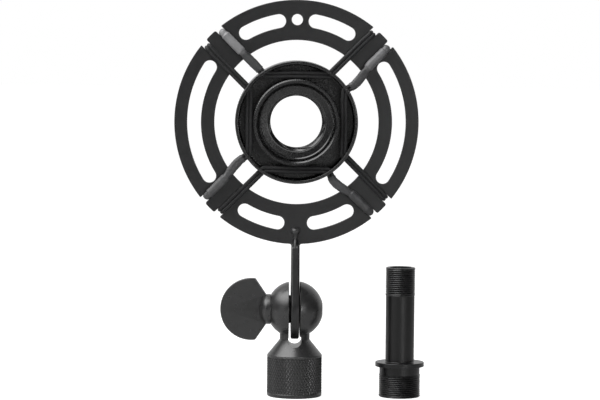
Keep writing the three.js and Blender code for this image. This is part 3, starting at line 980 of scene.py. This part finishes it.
def braid(path, along):
    """Points, faces and crown values of a closed braided tube along a path. Yarns run round it in
    both directions, each once in pitch times yarns, and stand height over the gaps."""
    sides, yarns, pitch, height = 20, 6, 2.1, 0.07
    radius = strand_radius(path)
    angles = np.arange(sides) * math.tau / sides
    s, a = np.meshgrid(along, angles, indexing="ij")
    turn = a * yarns / math.tau
    one_way, other_way = turn + s / pitch, turn - s / pitch
    left, right = zigzag(one_way), zigzag(other_way)
    crown = 1 - np.minimum(left, right) ** 1.5
    over = ((np.floor(one_way) + np.floor(other_way)) % 2) * 0.3
    crown = np.clip(crown - over * (1 - np.maximum(left, right)), 0, 1)
    r = radius[:, None] - height + height * crown
    points = tube_points(path, r * np.cos(a), r * np.sin(a))
    faces = band_faces(len(path), sides) + end_faces(len(path), sides)
    return points, faces, crown.ravel()


def follow_suspension(piece):
    """Bakes a finished piece's placement into its points."""
    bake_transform(piece)


def build_cord(quarter):
    """One elastic cord: two braided strands side by side."""
    points, faces, crowns = [], [], []
    for apart in (-0.96, 0.96):
        path, along = strand_path(quarter, apart * STRAND_RADIUS)
        strand_points, strand_faces, crown = braid(path, along)
        base = sum(len(block) for block in points)
        points.append(strand_points)
        faces += [tuple(base + i for i in face) for face in strand_faces]
        crowns.append(crown)
    cord = mesh_object(f"cord_pair_{quarter + 1}", np.concatenate(points), faces, RING_FACE)
    add_values(cord.data, "crown", np.concatenate(crowns))
    dress(cord, None, "cord_braid", f"elastic_cord_{quarter + 1}", sharp=80)
    follow_suspension(cord)


def sleeve_sizes(out, path_heights):
    """Half width and half height of a sleeve: flared to the cup, stepped over the ferrule."""
    stations = [33.0, 34.5, 38.0, 43.0, 46.0, 47.0, 47.4, 48.2, 58.2, 59.5, 59.9, 62.5, 65.0]
    half_width = [2.3, 2.25, 2.45, 2.4, 1.85, 1.8, 2.35, 2.42, 2.3, 2.42, 1.9, 1.85, 1.85]
    half_height = [1.5, 1.45, 1.4, 1.4, 1.45, 1.5, 2.0, 2.1, 1.95, 2.1, 1.55, 1.35, 1.3]
    over_edge = np.clip((2.8 - path_heights) / 2, 0, 1)
    height = np.interp(out, stations, half_height) * (1 - 0.15 * over_edge)
    return np.interp(out, stations, half_width), height


def build_sleeve(quarter):
    """A creased tube, open at the cup's rim and at the ring's notch."""
    over = RING_OUTER - NOTCH_DEPTH + STRAND_RADIUS + 0.3
    route = [(33.6, 0), (39, 10), (46.5, 6), (60, 6), (over, 1.8)]
    points = [(*on_diagonal(quarter, out, -CORD_LATERAL), sleeve_height(out)) for out, _ in route]
    points.append((*on_diagonal(quarter, over, -NOTCH_LATERAL), 0.7))
    path, along = bent(points, [radius for _, radius in route] + [0], 0.3)
    path = bow_path(path, quarter)
    out, _ = from_diagonal(quarter, path[:, 0], path[:, 1])
    half_width, half_height = sleeve_sizes(out, path[:, 2])
    sides, wall = 40, 0.26
    angles = np.arange(sides) * math.tau / sides
    phase = 1.7 * quarter
    s, a = np.meshgrid(along, angles, indexing="ij")
    crease = 0.04 * np.sin(1.9 * s + 2 * a + phase) * np.sin(0.53 * s + phase)
    crease += 0.02 * np.sin(4.1 * s - 3 * a)
    skins = []
    for inset_by in (0, wall):
        x = (half_width[:, None] + crease - inset_by) * np.cos(a)
        y = (half_height[:, None] + crease - inset_by) * np.sin(a)
        skins.append(tube_points(path, x, y))
    inner = len(path) * sides
    faces = []
    for quad in band_faces(len(path), sides):
        faces += [quad, tuple(inner + point for point in reversed(quad))]
    for start in (0, inner - sides):
        for j in range(sides):
            a, b = start + j, start + (j + 1) % sides
            faces.append((a, b, inner + b, inner + a))
    sleeve = solid(f"sleeve_{quarter + 1}", np.concatenate(skins), faces, RING_FACE)
    corners = np.array([vertex.co for vertex in sleeve.data.vertices]) - np.array(RING_CENTRE)
    out, _ = from_diagonal(quarter, corners[:, 0] / MM, corners[:, 2] / MM)
    # Painted light: the pale share is the tightness over the ferrule times each quarter's painted light
    # level.
    taut_and_lit = np.interp(out, [45.5, 47.4, 59.9, 62.5], [0, 1, 1, 0.7]) * TAUT_AND_LIT[quarter]
    add_values(sleeve.data, "stretched_and_lit", taut_and_lit)
    dress(sleeve, None, "shrink_tube", f"shrink_sleeve_{quarter + 1}", sharp=50)
    follow_suspension(sleeve)


def build_ferrule(quarter):
    """A crimped tube that leans back with its sleeve: two rows of dents across its middle."""
    turn = Matrix.Rotation(diagonal(quarter), 4, "Z")
    lean = math.atan2(sleeve_height(47) - sleeve_height(60), 13)
    centre = 53.6
    middle = Matrix.Translation(Vector((centre, -CORD_LATERAL, sleeve_height(centre))) * MM)
    tilt = Matrix.Rotation(math.pi / 2 + lean, 4, "Y")
    place = RING_FACE @ turn @ middle @ tilt @ Matrix.Translation((0, 0, -centre * MM))

    def dents(angles, z):
        pinch = math.exp(-(((z - 51) / 0.8) ** 2)) + math.exp(-(((z - 56) / 0.8) ** 2))
        return -0.1 * pinch * np.cos(angles) ** 2

    rows = plain_rows([(1.35, 48), (1.52, 48, 0.06), (1.54, 48.3)])
    rows += line_rows((1.55, 48.5), (1.55, 58.7), 0.25, dents)
    rows += plain_rows([(1.54, 58.9), (1.52, 59.2, 0.06), (1.35, 59.2)])
    ferrule = turned(f"ferrule_{quarter + 1}", rows, 32, place)
    dress(ferrule, "frame", "plain_steel", f"crimp_ferrule_{quarter + 1}")


# ------ loose adapter


def build_adapter():
    _, high = box_mm("thread_adapter", foot_of("thread_adapter"))
    top, flange, bore = high.z, high.x, 6.0
    wide, neck, tube, slim = 11.1, 10.75, 7.65, 7.95
    slim_start = top - 14.9
    rows = plain_rows([(bore, 0), (wide - 0.5, 0, 0.1), (wide - 0.1, 0.4)])
    rows += line_rows((wide, 0.5), (wide, 11.8), 0.13, thread(1.06, 0.55))
    rows += plain_rows([
        (wide - 0.35, 12.0), (neck, 12.3), (neck, 16.3, 0.2), (flange, 16.3, 0.3),
        (flange, 18.7, 0.35), (tube, 18.7, 0.4), (tube, slim_start - 0.3),
        (slim - 0.15, slim_start),
    ])
    rows += line_rows((slim, slim_start + 0.1), (slim, top - 0.5), 0.13, thread(1.06, 0.5))
    mouth = [(slim - 0.1, top - 0.4), (slim - 0.5, top, 0.1), (bore, top, 0.2), (bore, top - 1)]
    rows += plain_rows(mouth)
    adapter = turned("adapter_tube", rows, 144, UPRIGHT_ADAPTER)
    dress(adapter, "adapter", "turned_black", "thread_adapter", sharp=32, finish="turned_oxide")


# ------ stage, light, camera


def floor_material():
    """Pale floor that the camera sees as white wherever nothing shades it."""
    n = Nodes("pale_floor")
    lit = n.add("ShaderNodeBsdfDiffuse")
    put(lit, {"Color": (0.4, 0.4, 0.4, 1)})
    glow = n.add("ShaderNodeEmission")
    rays = n.add("ShaderNodeLightPath")
    n.link(n.spread(rays.outputs["Is Camera Ray"], 0.12, 0.93, 0, 1), glow.inputs["Strength"])
    both = n.add("ShaderNodeAddShader")
    n.link(lit.outputs["BSDF"], both.inputs[0])
    n.link(glow.outputs["Emission"], both.inputs[1])
    return n.surface(both.outputs["Shader"])


def rectangle(name, x, y, material):
    """A flat face in its own XY plane that reaches x and y metres from its middle."""
    mesh = bpy.data.meshes.new(name)
    mesh.from_pydata([(-x, -y, 0), (x, -y, 0), (x, y, 0), (-x, y, 0)], [], [(0, 1, 2, 3)])
    mesh.materials.append(material)
    return new_object(name, mesh)


def build_floor():
    size = 6.0
    rectangle("floor", size, size, floor_material())


def build_world():
    """White to the camera. To the object it is pale behind and dark in front, as in a white cove."""
    world = bpy.data.worlds.new("studio")
    bpy.context.scene.world = world
    world.use_nodes = True
    nodes = world.node_tree.nodes
    add, link = nodes.new, world.node_tree.links.new
    direction = add("ShaderNodeTexCoord")
    axes = add("ShaderNodeSeparateXYZ")
    depth = add("ShaderNodeMapRange")
    depth.interpolation_type = "SMOOTHSTEP"
    put(depth, {"From Min": -0.1, "From Max": 0.8, "To Min": 0.05, "To Max": 0.8})
    link(direction.outputs["Generated"], axes.inputs["Vector"])
    link(axes.outputs["Y"], depth.inputs["Value"])
    around = nodes["Background"]
    link(depth.outputs["Result"], around.inputs["Strength"])
    white = add("ShaderNodeBackground")
    for background in (around, white):
        put(background, {"Color": (1, 1, 1, 1)})
    rays = add("ShaderNodeLightPath")
    choose = add("ShaderNodeMixShader")
    link(rays.outputs["Is Camera Ray"], choose.inputs["Fac"])
    link(around.outputs["Background"], choose.inputs[1])
    link(white.outputs["Background"], choose.inputs[2])
    link(choose.outputs["Shader"], nodes["World Output"].inputs["Surface"])


def panel(name, centre, target, width, height, strength, fades):
    """A light panel that faces target. fades is how far its glow takes to rise from each side:
    left, right, bottom and top, as shares of its size; 0 is a sharp edge."""
    n = Nodes(name)
    glow = n.add("ShaderNodeEmission")
    axes = n.add("ShaderNodeSeparateXYZ")
    n.link(n.place, axes.inputs["Vector"])
    level = None
    spans = ((axes.outputs["X"], width), (axes.outputs["Y"], height))
    for i, fade in enumerate(fades):
        axis, size = spans[i // 2]
        if fade == 0:
            continue
        edge = size / 2 if i % 2 else -size / 2
        rise = n.add("ShaderNodeMapRange", interpolation_type="SMOOTHSTEP")
        put(rise, {"From Min": edge, "From Max": edge * (1 - 2 * fade)})
        n.link(axis, rise.inputs["Value"])
        product = n.add("ShaderNodeMath", operation="MULTIPLY")
        product.inputs[0].default_value = strength
        if level is not None:
            n.link(level, product.inputs[0])
        n.link(rise.outputs["Result"], product.inputs[1])
        level = product.outputs["Value"]
    n.link(level, glow.inputs["Strength"])
    piece = rectangle(name, width / 2, height / 2, n.surface(glow.outputs["Emission"]))
    piece.rotation_mode = "QUATERNION"
    piece.rotation_quaternion = (Vector(centre) - Vector(target)).to_track_quat("Z", "Y")
    piece.location = centre
    piece.visible_camera = False


def build_lights():
    """A large softbox over the left, low fill panels at both sides and a small bright one in front."""
    part = (0, 0, 0.1)
    panel("softbox", (-0.525, -0.3, 0.65), (-0.225, -0.3, 0.125), 1.8, 1.21, 4.8, (0.4, 0.5, 0.5, 0))
    panel("left_panel", (-1.1, -0.8, 0.3), part, 1.0, 0.9, 0.9, (0.4, 0.4, 0.4, 0.4))
    panel("right_strip", (0.83, -1.1, 0.35), part, 0.5, 1.0, 1.6, (0.4, 0.4, 0.3, 0.3))
    panel("front_panel", (0.8, -1.95, 0.26), part, 0.9, 0.48, 13, (0.4, 0.4, 0.4, 0.4))


def build_camera():
    """A long lens, a little above and to the left of the ring, looking down by about 4 degrees."""
    data = bpy.data.cameras.new("camera")
    data.sensor_width = 36
    data.lens = 172
    camera = new_object("camera", data)
    camera.location = (-0.02655, -1.525, 0.2066)
    aim = Vector((0.00005, 0, 0.1050))
    look = (aim - camera.location).to_track_quat("-Z", "Y")
    camera.rotation_mode = "QUATERNION"
    camera.rotation_quaternion = look @ Quaternion((0, 0, 1), math.radians(0.5))
    bpy.context.scene.camera = camera


build_ring_frame()
build_swivel()
build_thumbscrew()
build_friction_washers()
build_cup()
build_ring_nut()
build_nut_keepers()
for quarter in range(4):
    build_cord(quarter)
    build_sleeve(quarter)
    build_ferrule(quarter)
build_adapter()
build_floor()
build_world()
build_lights()
build_camera()
bpy.context.scene.view_settings.view_transform = "Standard"
